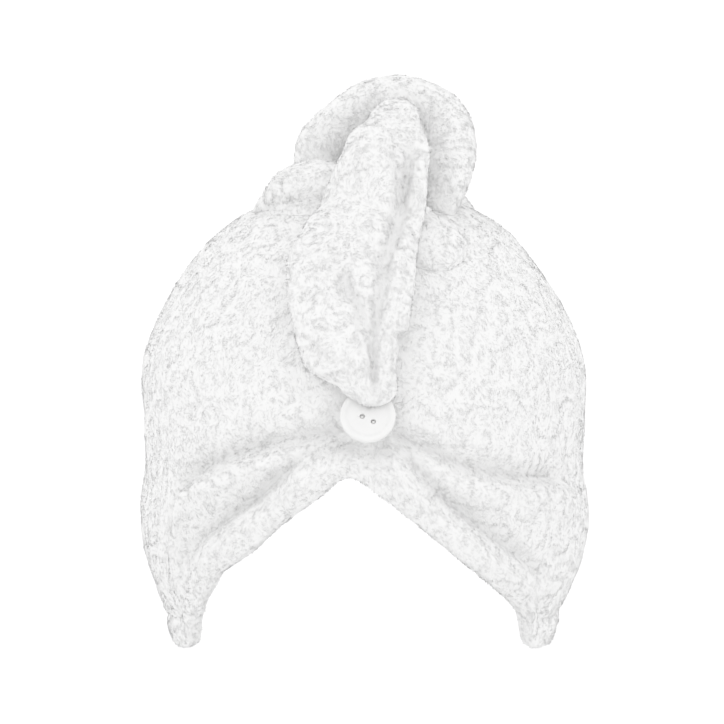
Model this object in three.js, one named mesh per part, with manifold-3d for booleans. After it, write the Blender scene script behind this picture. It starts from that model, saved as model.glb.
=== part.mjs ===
// Hair turban towel: a plush hood with a twisted tail, whose end is held on a button by an elastic loop.
// Millimetres, +Z up. The button side faces -Y, the face opening +Y, and +X is to the right of the button side.
// The origin is the inside of the crown, where the top of a head meets it.
import * as THREE from "three";
import { mergeVertices } from "three/addons/utils/BufferGeometryUtils.js";
import Module from "manifold-3d";

const wasm = await Module();
wasm.setup();

// Hood
const hoodWidth = 215.5; // outside, ear to ear
const hoodDepth = 236; // outside, nape to forehead
const hoodHeight = 217; // outside, from the crown to the bottom of the ear flaps
const clothThickness = 4; // plush cloth, pile included
const hemThickness = 8; // the rolled edge all round the opening
const hemWidth = 15; // how far the rolled edge reaches up the wall
const foldHeight = 5.2; // how far the folds that fan out from the button stand up
const foldValley = 4.6; // how deep the creases beside them are
const foldReach = 9; // from a crease to the top of its fold

// Twisted tail
const ropeThickness = 25; // the tail's thickness where it is twisted
const loopHeight = 43; // from the crown up to the middle of the rope at the top of its loop
const loopWidth = 62; // between the middles of the loop's two legs
const loopDepth = 46; // from the loop's legs back to the far side of the gathers
const loopMiddle = 9.5; // how far it stands to the right of the crown's middle
const gatherMiddle = 2; // and the gathers below it
const gatherWidth = 104; // the cloth gathered at the root of the tail, side to side at its foot
const gatherDepth = 110; // and front to back
const gatherFold = 3.2; // depth of the folds that wind up it
const gatherFolds = 7;
const gatherTurn = 70; // degrees that they wind from foot to top
const gatherFade = 0.6; // share of their depth that they lose on the way
const lobeLength = 46; // the leaf-shaped lobe at the foot of the loop's right leg
const lobeWidth = 37;
const lobeThickness = 20;
const lobeSunk = 3.5; // how far its middle lies below the face of the cloth
const lobeTurn = 40; // degrees that its length turns from straight up the slope to the right

// Flat end of the tail
const endWidth = 60; // where it is widest
const endThickness = 19;
const endCrease = 4.5; // depth of the creases between its rolls
const endStep = 8; // how far its front lobe's upper end stands over the layer behind it
const endBedding = 1.5; // how far its back is pressed flat on the hood

// Button, its thread and the elastic loop
const buttonDiameter = 25;
const buttonThickness = 3.6;
const buttonRim = 2.6; // width of the raised rim
const buttonDish = 0.7; // depth of the face inside the rim
const buttonTilt = 25; // degrees that its face looks up
const buttonStand = 8.3; // from the cloth to the middle of the button
const holeDiameter = 2.4;
const holeSpacing = 5.6;
const holeTurn = -27; // degrees that the line through the holes turns from level
const holeDrop = 1.6; // how far below the button's middle they lie
const threadDiameter = 1.3;
const threadSink = 1.1; // how far below the face the thread ends in its holes
const shankDiameter = 3.4;
const cordDiameter = 2.2; // the elastic loop
const cordDrop = 15; // how far the loop hangs from the tail's end

const gap = 0.35; // between pieces that touch

// Sections of the hood from the crown down: level is a share of hoodHeight, width and depth are shares of half
// of hoodWidth and hoodDepth.
const hoodSections = [
  { level: 0.0, width: 0.0, depth: 0.0 },
  { level: 0.006, width: 0.22, depth: 0.22 },
  { level: 0.033, width: 0.45, depth: 0.45 },
  { level: 0.09, width: 0.63, depth: 0.64 },
  { level: 0.17, width: 0.78, depth: 0.79 },
  { level: 0.26, width: 0.893, depth: 0.9 },
  { level: 0.35, width: 0.968, depth: 0.965 },
  { level: 0.42, width: 0.987, depth: 0.99 },
  { level: 0.52, width: 0.982, depth: 1.0 },
  { level: 0.61, width: 0.973, depth: 0.99 },
  { level: 0.71, width: 1.0, depth: 0.975 },
  { level: 0.79, width: 0.985, depth: 0.95 },
  { level: 0.86, width: 0.94, depth: 0.91 },
  { level: 0.93, width: 0.88, depth: 0.87 },
  { level: 1.0, width: 0.83, depth: 0.83 },
];

// The hood's lower edge: azimuth is in degrees from the button side, to the right, and level as above. It arches
// over the nape below the button, hangs over the ears and arches higher over the face.
const hoodEdge = [
  { azimuth: -180, level: 0.53 },
  { azimuth: -165, level: 0.55 },
  { azimuth: -150, level: 0.63 },
  { azimuth: -136, level: 0.8 },
  { azimuth: -124, level: 0.93 },
  { azimuth: -108, level: 0.99 },
  { azimuth: -90, level: 1.0 },
  { azimuth: -72, level: 0.998 },
  { azimuth: -63, level: 0.981 },
  { azimuth: -58.5, level: 0.943 },
  { azimuth: -52, level: 0.897 },
  { azimuth: -45, level: 0.852 },
  { azimuth: -40, level: 0.812 },
  { azimuth: -29, level: 0.757 },
  { azimuth: -20, level: 0.69 },
  { azimuth: -11, level: 0.634 },
  { azimuth: -4, level: 0.592 },
  { azimuth: 5, level: 0.637 },
  { azimuth: 16, level: 0.713 },
  { azimuth: 27, level: 0.787 },
  { azimuth: 38, level: 0.848 },
  { azimuth: 50, level: 0.908 },
  { azimuth: 55, level: 0.95 },
  { azimuth: 59, level: 0.982 },
  { azimuth: 64, level: 0.992 },
  { azimuth: 73, level: 0.995 },
  { azimuth: 90, level: 0.99 },
  { azimuth: 108, level: 0.985 },
  { azimuth: 124, level: 0.93 },
  { azimuth: 136, level: 0.8 },
  { azimuth: 150, level: 0.63 },
  { azimuth: 165, level: 0.55 },
  { azimuth: 180, level: 0.53 },
];

// Creases that fan out from the button, each with a fold standing up below it. rise is the fold's share of
// foldHeight and of foldValley.
const hoodCreases = [
  {
    rise: 1.0,
    course: [
      { azimuth: -68, level: 0.86 },
      { azimuth: -60, level: 0.752 },
      { azimuth: -55, level: 0.672 },
      { azimuth: -51, level: 0.61 },
      { azimuth: -41, level: 0.566 },
      { azimuth: -30, level: 0.537 },
      { azimuth: -19, level: 0.514 },
      { azimuth: -7, level: 0.495 },
    ],
  },
  {
    rise: 0.9,
    course: [
      { azimuth: -58, level: 0.83 },
      { azimuth: -48, level: 0.754 },
      { azimuth: -40, level: 0.706 },
      { azimuth: -33, level: 0.666 },
      { azimuth: -26, level: 0.624 },
      { azimuth: -20, level: 0.582 },
      { azimuth: -14, level: 0.546 },
      { azimuth: -7, level: 0.52 },
    ],
  },
  {
    rise: 0.9,
    course: [
      { azimuth: 7, level: 0.496 },
      { azimuth: 15, level: 0.528 },
      { azimuth: 22, level: 0.558 },
      { azimuth: 30, level: 0.58 },
      { azimuth: 40, level: 0.598 },
      { azimuth: 54, level: 0.609 },
      { azimuth: 74, level: 0.625 },
    ],
  },
  {
    rise: 0.9,
    course: [
      { azimuth: 7, level: 0.525 },
      { azimuth: 13, level: 0.572 },
      { azimuth: 19, level: 0.624 },
      { azimuth: 27, level: 0.68 },
      { azimuth: 36, level: 0.737 },
      { azimuth: 46, level: 0.786 },
      { azimuth: 60, level: 0.86 },
    ],
  },
];

// Where the button is sewn on.
const buttonSeat = { azimuth: 1, level: 0.46, dent: 2.5, reach: 16 };

// The twist. across is a share of loopWidth from the loop's middle, back of loopDepth and up of loopHeight, and size
// is the radius as a share of the rope's. First the winding that crosses the front, from its root on the left
// shoulder.
const frontWinding = [
  { across: -0.98, back: -0.39, up: -0.256, size: 0.2 },
  { across: -0.86, back: -0.59, up: -0.151, size: 0.56 },
  { across: -0.715, back: -0.78, up: -0.012, size: 0.9 },
  { across: -0.545, back: -0.935, up: 0.047, size: 1.02 },
  { across: -0.315, back: -1.087, up: 0.012, size: 0.96 },
  { across: -0.056, back: -1.174, up: -0.093, size: 0.88 },
  { across: 0.169, back: -1.24, up: -0.256, size: 0.8 },
  { across: 0.331, back: -1.304, up: -0.42, size: 0.7 },
  { across: 0.46, back: -1.25, up: -0.5, size: 0.5 },
];

// The fold of the hood that is drawn up under it.
const windingSkirt = [
  { across: -0.9, back: -0.57, up: -0.3, size: 0.24 },
  { across: -0.73, back: -0.91, up: -0.29, size: 0.52 },
  { across: -0.52, back: -1.09, up: -0.29, size: 0.68 },
  { across: -0.28, back: -1.24, up: -0.3, size: 0.68 },
  { across: -0.056, back: -1.3, up: -0.34, size: 0.64 },
];

// The loop, from its right leg over the top to its left leg and down into the gathers.
const tailLoop = [
  { across: 0.4, back: -0.783, up: -0.372, size: 0.64 },
  { across: 0.44, back: -0.783, up: -0.163, size: 0.74 },
  { across: 0.475, back: -0.717, up: 0, size: 0.82 },
  { across: 0.515, back: -0.543, up: 0.233, size: 0.94 },
  { across: 0.535, back: -0.304, up: 0.465, size: 0.976 },
  { across: 0.515, back: -0.087, up: 0.674, size: 0.97 },
  { across: 0.43, back: 0.04, up: 0.85, size: 0.95 },
  { across: 0.29, back: 0.1, up: 0.97, size: 0.94 },
  { across: 0.11, back: 0.13, up: 1.03, size: 0.93 },
  { across: -0.11, back: 0.13, up: 0.96, size: 0.92 },
  { across: -0.31, back: 0.12, up: 0.77, size: 0.92 },
  { across: -0.46, back: 0.1, up: 0.56, size: 0.92 },
  { across: -0.53, back: 0.1, up: 0.35, size: 0.92 },
  { across: -0.5, back: 0.18, up: 0.12, size: 0.9 },
  { across: -0.4, back: 0.3, up: -0.05, size: 0.7 },
];

// Where the lobe at the foot of the right leg lies on the hood.
const lobeSeat = { azimuth: 27, level: 0.102 };

// The gathers from their foot up: up and back as above, width and depth shares of gatherWidth and gatherDepth.
const gatherRows = [
  { up: -0.45, back: 0.1, width: 1, depth: 1 },
  { up: -0.2, back: 0.1, width: 0.95, depth: 0.96 },
  { up: -0.05, back: 0.1, width: 0.86, depth: 0.88 },
  { up: 0.08, back: 0.1, width: 0.74, depth: 0.76 },
  { up: 0.18, back: 0.1, width: 0.6, depth: 0.62 },
  { up: 0.26, back: 0.1, width: 0.44, depth: 0.46 },
  { up: 0.32, back: 0.1, width: 0.26, depth: 0.28 },
];

// The tail's end, first free of the hood, from inside the loop over the front winding. across, back and up are as
// above, width and thickness are shares of endWidth and endThickness, and lean is how many degrees its upper side
// leans forward.
const endHump = [
  { across: 0.06, back: 0.36, up: 0.1, width: 0.3, thickness: 0.9, lean: -25 },
  { across: 0.085, back: 0.14, up: 0.36, width: 0.3, thickness: 0.95, lean: -8 },
  { across: 0.1, back: -0.14, up: 0.62, width: 0.24, thickness: 1, lean: 5 },
  { across: 0.11, back: -0.42, up: 0.84, width: 0.22, thickness: 1, lean: 25 },
  { across: 0.1, back: -0.75, up: 0.92, width: 0.28, thickness: 1, lean: 48 },
  { across: 0.08, back: -1.08, up: 0.76, width: 0.44, thickness: 1, lean: 66 },
  { across: 0.03, back: -1.42, up: 0.44, width: 0.7, thickness: 1, lean: 68 },
];

// Then lying on the hood down to the button: shift is a share of endWidth, to the right of the button side's
// middle. crease and fold are where its two creases lie, as shares of its half width.
const endRows = [
  { level: 0.08, shift: 0.055, width: 0.86, thickness: 1, crease: 0.52, fold: -0.95 },
  { level: 0.13, shift: -0.03, width: 0.95, thickness: 1, crease: 0.55, fold: -0.62 },
  { level: 0.172, shift: -0.08, width: 1.02, thickness: 1, crease: 0.52, fold: -0.36 },
  { level: 0.215, shift: -0.085, width: 1, thickness: 0.98, crease: 0.52, fold: -0.1 },
  { level: 0.285, shift: -0.09, width: 0.92, thickness: 0.94, crease: 0.46, fold: 0.22 },
  { level: 0.327, shift: -0.075, width: 0.83, thickness: 0.88, crease: 0.4, fold: 0.38 },
  { level: 0.356, shift: -0.022, width: 0.66, thickness: 0.84, crease: 0.33, fold: 0.33 },
  { level: 0.388, shift: 0.03, width: 0.48, thickness: 0.8, crease: 0.2, fold: 0.2 },
  { level: 0.414, shift: 0.065, width: 0.4, thickness: 0.76, crease: 0.1, fold: 0.1 },
];
const endTip = { level: 0.438, shift: 0.075, width: 0.26, thickness: 0.4, crease: 0, fold: 0, lift: 0.48 };

// The front lobe of the end: the stop where it starts, its middle there and the rounding of its edge as shares of
// the half width, and the stops it takes to reach its full width at the right and left. The layer behind it comes
// level with it between the two stops of fade.
const frontLobe = { top: 5.6, middle: -0.35, edge: 0.3, right: 1.3, left: 0.5, fade: [6.5, 9.5] };
const foldStart = [8.6, 9.9]; // stops between which the second crease deepens

// How finely the surfaces are faceted.
const hoodColumns = 66;
const hoodWarp = 0.5; // how much closer the columns stand on the button side
const wallRows = 21;
const wallWarp = 1.45; // how much closer the rows stand towards the edge
const liningRows = 6;
const hemRows = [0.05, 0.17, 0.38, 0.7, 1.0]; // shares of hemWidth
const ringsPerRow = 2; // rings for each row of a table
const ropeSides = 12;
const lobeSides = 14;
const lobeRings = 8;
const gatherSides = 42;
const endSides = 28;
const cordSides = 6;
const shankSides = 12;
const buttonSides = 32;
const holeSides = 12;

// Shapes of folds and creases, as shares of the size they belong to.
const valleyReach = { outside: 0.6, inside: 2 }; // of foldReach
const foldEnds = { far: 0.3, near: 0.14 }; // of a crease's length, over which its fold rises and dies out
const creaseReach = 0.2; // of the end's half width
const rollBias = 0.62; // below 1 the hem's roll is fullest near its edge

const degrees = THREE.MathUtils.degToRad;
const vector = (x, y, z) => new THREE.Vector3(x, y, z);
const bell = (x) => Math.exp(-x * x);

// Value of a column at a place in a table, on smooth slopes from row to row.
function readTable(rows, key, column, at) {
  const last = rows.length - 1;
  let i = rows.findIndex((row) => row[key] > at) - 1;
  if (i < 0) i = at <= rows[0][key] ? 0 : last - 1;
  const slope = (j) => {
    const before = rows[Math.max(j - 1, 0)];
    const after = rows[Math.min(j + 1, last)];
    return (after[column] - before[column]) / (after[key] - before[key]);
  };
  const span = rows[i + 1][key] - rows[i][key];
  const t = THREE.MathUtils.clamp((at - rows[i][key]) / span, 0, 1);
  const flat = rows[i][column] * (1 + 2 * t) * (1 - t) ** 2 + rows[i + 1][column] * t * t * (3 - 2 * t);
  return flat + span * (slope(i) * t * (1 - t) ** 2 - slope(i + 1) * t * t * (1 - t));
}

// A closed body through rings of equally many points, with both ends closed by a fan to a point.
function ringBody(rings, firstPole, lastPole) {
  const count = rings[0].length;
  const points = [firstPole, ...rings.flat(), lastPole];
  const at = (ring, k) => 1 + ring * count + (k % count);
  const faces = [];
  for (let k = 0; k < count; k++) faces.push(0, at(0, k), at(0, k + 1));
  for (let ring = 0; ring < rings.length - 1; ring++) {
    for (let k = 0; k < count; k++) {
      faces.push(at(ring, k), at(ring + 1, k), at(ring + 1, k + 1));
      faces.push(at(ring, k), at(ring + 1, k + 1), at(ring, k + 1));
    }
  }
  const end = points.length - 1;
  for (let k = 0; k < count; k++) faces.push(end, at(rings.length - 1, k + 1), at(rings.length - 1, k));
  const geometry = new THREE.BufferGeometry().setFromPoints(points);
  geometry.setIndex(faces);
  return geometry;
}

// A mesh's geometry to a closed solid, and back.
function toSolid(geometry) {
  const bare = geometry.clone();
  bare.deleteAttribute("normal");
  bare.deleteAttribute("uv");
  const merged = mergeVertices(bare, 1e-3);
  const vertProperties = new Float32Array(merged.attributes.position.array);
  const triVerts = new Uint32Array(merged.index.array);
  return new wasm.Manifold(new wasm.Mesh({ numProp: 3, vertProperties, triVerts }));
}

function toGeometry(solid) {
  const mesh = solid.getMesh();
  const geometry = new THREE.BufferGeometry();
  geometry.setAttribute("position", new THREE.BufferAttribute(new Float32Array(mesh.vertProperties), 3));
  geometry.setIndex(new THREE.BufferAttribute(new Uint32Array(mesh.triVerts), 1));
  geometry.computeVertexNormals();
  return geometry;
}

// The largest body of a solid, without slivers that a cut leaves.
function mainBody(solid) {
  return solid.decompose().sort((a, b) => b.volume() - a.volume())[0];
}

// The hood's middle surface without its folds.
const hoodProfile = new THREE.CatmullRomCurve3(
  hoodSections.map((s) =>
    vector(
      (s.width * (hoodWidth - clothThickness)) / 2,
      (s.depth * (hoodDepth - clothThickness)) / 2,
      clothThickness / 2 - s.level * (hoodHeight - clothThickness / 2),
    ),
  ),
  false,
  "centripetal",
);
hoodProfile.arcLengthDivisions = 400;
const profileLength = hoodProfile.getLength();
const levelOf = (z) => (clothThickness / 2 - z) / (hoodHeight - clothThickness / 2);

function plainPoint(azimuth, run) {
  const p = hoodProfile.getPointAt(THREE.MathUtils.clamp(run / profileLength, 0, 1));
  return vector(p.x * Math.sin(degrees(azimuth)), -p.y * Math.cos(degrees(azimuth)), p.z);
}

// How far down the profile a level lies.
function runAt(level) {
  let low = 0;
  let high = profileLength;
  for (let i = 0; i < 24; i++) {
    const middle = (low + high) / 2;
    if (levelOf(plainPoint(0, middle).z) < level) low = middle;
    else high = middle;
  }
  return (low + high) / 2;
}

function hoodNormal(azimuth, run) {
  const step = 0.5;
  const at = Math.max(run, 2 * step);
  const down = plainPoint(azimuth, at + step).sub(plainPoint(azimuth, at - step));
  const round = plainPoint(azimuth + step, at).sub(plainPoint(azimuth - step, at));
  return down.cross(round).normalize();
}

// Height of the folds at a place: a fold stands up below each crease and fades out at the crease's ends. The inner
// layer runs smoothly behind them.
const meanRadius = (hoodWidth + hoodDepth) / 4;

function foldRelief(azimuth, level, inner) {
  let relief = 0;
  for (const { rise, course } of hoodCreases) {
    const first = course[0].azimuth;
    const last = course.at(-1).azimuth;
    const at = THREE.MathUtils.clamp(azimuth, first, last);
    const step = 1;
    const line = (x) => readTable(course, "azimuth", "level", THREE.MathUtils.clamp(x, first, last)) * hoodHeight;
    const slope = (line(at + step) - line(at - step)) / (2 * degrees(step) * meanRadius);
    const below = (level * hoodHeight - line(at)) / Math.hypot(1, slope);
    const outer = Math.abs(first) > Math.abs(last) ? first : last;
    const left = 1 - Math.abs(azimuth / outer);
    const rise = THREE.MathUtils.smoothstep(azimuth / outer, 0, foldEnds.near);
    const fade = rise * THREE.MathUtils.smoothstep(left, 0, foldEnds.far);
    const fold = inner ? 0 : foldHeight * bell((below - foldReach) / foldReach);
    const valley = foldValley * bell(below / ((inner ? valleyReach.inside : valleyReach.outside) * foldReach));
    relief += rise * fade * (fold - valley);
  }
  const across = degrees(azimuth - buttonSeat.azimuth) * meanRadius;
  const down = (level - buttonSeat.level) * hoodHeight;
  return relief - buttonSeat.dent * bell(Math.hypot(across, down) / buttonSeat.reach);
}

// A point of the hood, off the middle surface by a distance along its normal.
function hoodPoint(azimuth, run, off) {
  const point = plainPoint(azimuth, run);
  const relief = foldRelief(azimuth, levelOf(point.z), off < 0);
  return point.addScaledVector(hoodNormal(azimuth, run), off + relief);
}

// Half the wall's thickness at a distance from the edge: the cloth, with a rolled hem that ends round.
function halfWall(fromEdge) {
  const share = THREE.MathUtils.clamp(fromEdge / hemWidth, 0, 1);
  const roll = Math.sqrt(Math.max(0, Math.sin(Math.PI * Math.min(1, share ** rollBias))));
  const round = Math.sqrt(Math.min(1, (2 * fromEdge) / clothThickness));
  return (clothThickness / 2) * round + ((hemThickness - clothThickness) / 2) * roll;
}

const columnAzimuths = Array.from({ length: hoodColumns }, (_, k) => {
  const even = -180 + (360 * k) / hoodColumns;
  return even - THREE.MathUtils.radToDeg(hoodWarp * Math.sin(degrees(even)));
});
const edgeRuns = columnAzimuths.map((azimuth) => runAt(readTable(hoodEdge, "azimuth", "level", azimuth)));

// One ring of the hood at each of the rows, given by their distance up from the edge.
function hoodRing(side, fromEdge) {
  return columnAzimuths.map((azimuth, k) => {
    const up = fromEdge(edgeRuns[k]);
    return hoodPoint(azimuth, edgeRuns[k] - up, side * halfWall(up));
  });
}

function wallRings(side, rows) {
  const hem = hemRows.map((share) => hoodRing(side, () => share * hemWidth));
  const wall = [];
  for (let row = 1; row < rows; row++) {
    wall.push(hoodRing(side, (edge) => hemWidth + (edge - hemWidth) * (row / rows) ** wallWarp));
  }
  return [...hem, ...wall];
}

function hoodGeometry() {
  const outside = wallRings(1, wallRows).reverse();
  const inside = wallRings(-1, liningRows);
  const edge = hoodRing(0, () => 0);
  const rings = [...outside, edge, ...inside];
  return ringBody(rings, hoodPoint(0, 0, clothThickness / 2), hoodPoint(0, 0, -clothThickness / 2));
}

// The hood filled in and grown by the gap, to cut what lies on it.
function hoodCutter() {
  const rings = wallRings(1, wallRows).reverse();
  const grow = (p) => p.addScaledVector(vector(p.x, p.y, 0).normalize(), gap).add(vector(0, 0, gap));
  const grown = rings.map((ring) => ring.map(grow));
  return toSolid(ringBody(grown, vector(0, 0, clothThickness + gap), vector(0, 0, -hoodHeight / 2)));
}

// Rings along a line of stops. Each stop has a place, half a width and half a thickness, and may say which way its
// thickness points and how its outline dents.
function sweepRings(stops, sides) {
  const curve = new THREE.CatmullRomCurve3(stops.map((s) => s.place), false, "centripetal");
  const rings = [];
  const total = (stops.length - 1) * ringsPerRow;
  let lateral = null;
  for (let i = 0; i <= total; i++) {
    const t = i / total;
    const at = t * (stops.length - 1);
    const a = stops[Math.min(Math.floor(at), stops.length - 2)];
    const b = stops[Math.min(Math.floor(at) + 1, stops.length - 1)];
    const share = at - stops.indexOf(a);
    const mix = (key) => THREE.MathUtils.lerp(a[key], b[key], THREE.MathUtils.smoothstep(share, 0, 1));
    const along = curve.getTangent(t);
    if (a.out) lateral = a.out.clone().lerp(b.out, share).cross(along);
    else if (!lateral) lateral = vector(0, 0, 1).cross(along);
    lateral.addScaledVector(along, -lateral.dot(along)).normalize();
    const out = along.clone().cross(lateral).normalize();
    const centre = curve.getPoint(t);
    const ring = [];
    for (let k = 0; k < sides; k++) {
      const angle = (-2 * Math.PI * k) / sides;
      const across = Math.cos(angle);
      const rise = Math.sin(angle);
      const dented = a.crease !== undefined && rise > 0;
      const dent = dented ? endDent(at, across, mix("crease"), mix("fold")) : 0;
      const height = (mix("thickness") - dent) * rise;
      const point = centre.clone().addScaledVector(lateral, mix("width") * across);
      ring.push(point.addScaledVector(out, height));
    }
    rings.push(ring);
  }
  return rings;
}

function sweptBody(stops, sides) {
  const rings = sweepRings(stops, sides);
  return ringBody(rings, stops[0].place, stops.at(-1).place);
}

// How deep the upper side of the end is dented at a stop and a share of its half width: by its two creases, and by
// the step from its front lobe down to the layer behind it.
function endDent(at, across, crease, fold) {
  const { clamp, smoothstep } = THREE.MathUtils;
  const { top, middle, edge, fade } = frontLobe;
  const second = smoothstep(at, ...foldStart) * bell((across - fold) / creaseReach);
  const creases = endCrease * Math.max(bell((across - crease) / creaseReach), second);
  const grown = (stops) => Math.sqrt(clamp((at - top) / stops, 0, 1));
  const right = middle + (crease - middle) * grown(frontLobe.right);
  const left = middle - (1 + edge + middle) * grown(frontLobe.left);
  const inside = (distance) => smoothstep(distance, -edge / 2, edge / 2);
  const lobe = inside(right - across) * inside(across - left) * smoothstep(at, top, top + edge);
  const behind = endStep * (1 - smoothstep(at, ...fade)) * (1 - lobe);
  return behind + creases * smoothstep(at, top, top + frontLobe.left);
}

const loopPoint = (row) =>
  vector(
    loopMiddle + row.across * loopWidth,
    row.back * loopDepth,
    clothThickness + row.up * loopHeight,
  );

// A length of the twist, grown by a margin when it is used to cut the tail's end.
function ropeBody(rows, margin = 0) {
  const stops = rows.map((row) => {
    const radius = (row.size * ropeThickness) / 2 + margin;
    return { place: loopPoint(row), width: radius, thickness: radius };
  });
  return sweptBody(stops, ropeSides);
}

// The lobe, an ellipsoid half sunk in the hood.
function lobeBody() {
  const { azimuth, level } = lobeSeat;
  const run = runAt(level);
  const middle = plainPoint(azimuth, run);
  const normal = hoodNormal(azimuth, run);
  const upSlope = plainPoint(azimuth, run - 1).sub(middle).normalize();
  const right = upSlope.clone().cross(normal);
  const turn = degrees(lobeTurn);
  const along = upSlope.multiplyScalar(Math.cos(turn)).addScaledVector(right, Math.sin(turn)).normalize();
  const across = normal.clone().cross(along);
  middle.addScaledVector(normal, clothThickness / 2 - lobeSunk);
  const point = (tilt, angle) => {
    const wide = (lobeWidth / 2) * Math.sin(tilt) * Math.cos(angle);
    const thick = (lobeThickness / 2) * Math.sin(tilt) * Math.sin(angle);
    const place = middle.clone().addScaledVector(along, (lobeLength / 2) * Math.cos(tilt));
    return place.addScaledVector(across, wide).addScaledVector(normal, thick);
  };
  const rings = Array.from({ length: lobeRings - 1 }, (_, i) =>
    Array.from({ length: lobeSides }, (_, k) =>
      point((Math.PI * (i + 1)) / lobeRings, (2 * Math.PI * k) / lobeSides),
    ),
  );
  return ringBody(rings, point(0, 0), point(Math.PI, 0));
}

// The gathered cloth, with folds that wind up it and die out at its foot.
function gatherBody() {
  const rings = gatherRows.map((row, i) => {
    const share = i / (gatherRows.length - 1);
    return Array.from({ length: gatherSides }, (_, k) => {
      const around = (2 * Math.PI * k) / gatherSides;
      const angle = around + degrees(gatherTurn) * share;
      const fold = gatherFold * (1 - gatherFade * share) * Math.cos(gatherFolds * around);
      const across = ((row.width * gatherWidth) / 2 + fold) * Math.cos(angle);
      const back = ((row.depth * gatherDepth) / 2 + fold) * Math.sin(angle);
      return vector(gatherMiddle + across, row.back * loopDepth + back, clothThickness + row.up * loopHeight);
    });
  });
  const middle = (row, rise) =>
    vector(gatherMiddle, row.back * loopDepth, clothThickness + (row.up + rise) * loopHeight);
  return ringBody(rings.reverse(), middle(gatherRows.at(-1), 0.05), middle(gatherRows[0], 0));
}

// The flat end of the tail: out of the loop, over the front winding and down the hood.
function endStops() {
  const hump = endHump.map((row) => ({
    place: loopPoint(row),
    width: (row.width * endWidth) / 2,
    thickness: (row.thickness * endThickness) / 2,
    out: vector(0, -Math.sin(degrees(row.lean)), Math.cos(degrees(row.lean))),
    crease: endRows[0].crease,
    fold: endRows[0].fold,
  }));
  const lying = [...endRows, endTip].map((row) => {
    const run = runAt(row.level);
    const width = Math.abs(plainPoint(90, run).x);
    const azimuth = THREE.MathUtils.radToDeg(Math.asin((row.shift * endWidth) / width));
    const lift = row.lift ? row.lift * endThickness : (row.thickness * endThickness) / 2 - endBedding;
    return {
      place: plainPoint(azimuth, run).addScaledVector(hoodNormal(azimuth, run), clothThickness / 2 + lift),
      width: (row.width * endWidth) / 2,
      thickness: (row.thickness * endThickness) / 2,
      out: hoodNormal(azimuth, run),
      crease: row.crease,
      fold: row.fold,
    };
  });
  return [...hump, ...lying];
}

// The button's own frame: its middle, with its face looking out and up.
const seatRun = runAt(buttonSeat.level);
const clothAtButton = hoodPoint(buttonSeat.azimuth, seatRun, clothThickness / 2);
const buttonFrame = new THREE.Group();
buttonFrame.position.copy(clothAtButton).add(vector(0, -buttonStand, 0));
buttonFrame.rotation.x = degrees(90 - buttonTilt);
buttonFrame.updateMatrix();
const inFrame = (geometry) => geometry.applyMatrix4(buttonFrame.matrix);

// A button turned about its own axis, grown by a margin when it is used to cut the tail's end.
function buttonBlank(margin) {
  const radius = buttonDiameter / 2 + margin;
  const half = buttonThickness / 2 + margin;
  const corner = half * 0.6;
  const face = half - (margin ? 0 : buttonDish);
  const profile = [
    [0, -half],
    [radius - corner, -half],
    [radius - 0.3 * corner, -half + 0.3 * corner],
    [radius, -half + corner],
    [radius, half - corner],
    [radius - 0.3 * corner, half - 0.3 * corner],
    [radius - corner, half],
    [radius - buttonRim, half],
    [radius - 1.6 * buttonRim, face],
    [0, face],
  ].map(([x, y]) => new THREE.Vector2(x, y));
  const turned = new THREE.LatheGeometry(profile, buttonSides);
  turned.rotateX(Math.PI / 2);
  return turned;
}

const holePlaces = [-1, 1].map((side) =>
  vector((side * holeSpacing) / 2, 0, 0)
    .applyAxisAngle(vector(0, 0, 1), degrees(holeTurn))
    .add(vector(0, -holeDrop, 0)),
);

function buttonGeometry() {
  let solid = toSolid(buttonBlank(0));
  for (const place of holePlaces) {
    const drill = new THREE.CylinderGeometry(holeDiameter / 2, holeDiameter / 2, 2 * buttonThickness, holeSides);
    drill.rotateX(Math.PI / 2).translate(place.x, place.y, 0);
    solid = solid.subtract(toSolid(drill));
  }
  return inFrame(toGeometry(solid));
}

// A round cord along points, closed at both ends.
function cordBody(points, diameter, sides) {
  const stops = points.map((place) => ({ place, width: diameter / 2, thickness: diameter / 2 }));
  return toSolid(sweptBody(stops, sides));
}

// The thread: out of both holes behind the button into a bound shank down to the cloth. It ends below the face.
function threadGeometry() {
  const back = -buttonThickness / 2;
  const face = buttonThickness / 2 - buttonDish;
  const turn = back - gap - threadDiameter / 2;
  const ends = holePlaces.map((hole) =>
    cordBody(
      [
        vector(hole.x, hole.y, face - threadSink),
        vector(hole.x, hole.y, back),
        vector(hole.x * 0.85, hole.y * 0.85, turn),
        vector(0, 0, turn - threadDiameter / 2),
      ],
      threadDiameter,
      cordSides,
    ),
  );
  const cloth = clothAtButton.clone().applyMatrix4(buttonFrame.matrix.clone().invert());
  const top = vector(0, 0, back - gap);
  const shank = cordBody([top, vector(0, 0, turn - threadDiameter), cloth], shankDiameter, shankSides);
  return inFrame(toGeometry(shank.add(ends[0]).add(ends[1])));
}

// The elastic loop: from the back of the tail's end down round the shank, behind the button.
function cordStops() {
  const side = (holeSpacing + threadDiameter + cordDiameter) / 2 + gap; // clear of both ends of the thread
  const level = -buttonThickness / 2 - 2 * gap - cordDiameter / 2;
  const bottom = -side;
  const top = bottom + cordDrop;
  return [
    vector(-side * 0.8, top, level),
    vector(-side, top * 0.5, level),
    vector(-side, 0, level),
    vector(-side * 0.7, bottom * 0.75, level),
    vector(0, bottom, level),
    vector(side * 0.7, bottom * 0.75, level),
    vector(side, 0, level),
    vector(side, top * 0.5, level),
    vector(side * 0.8, top, level),
  ];
}

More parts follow.
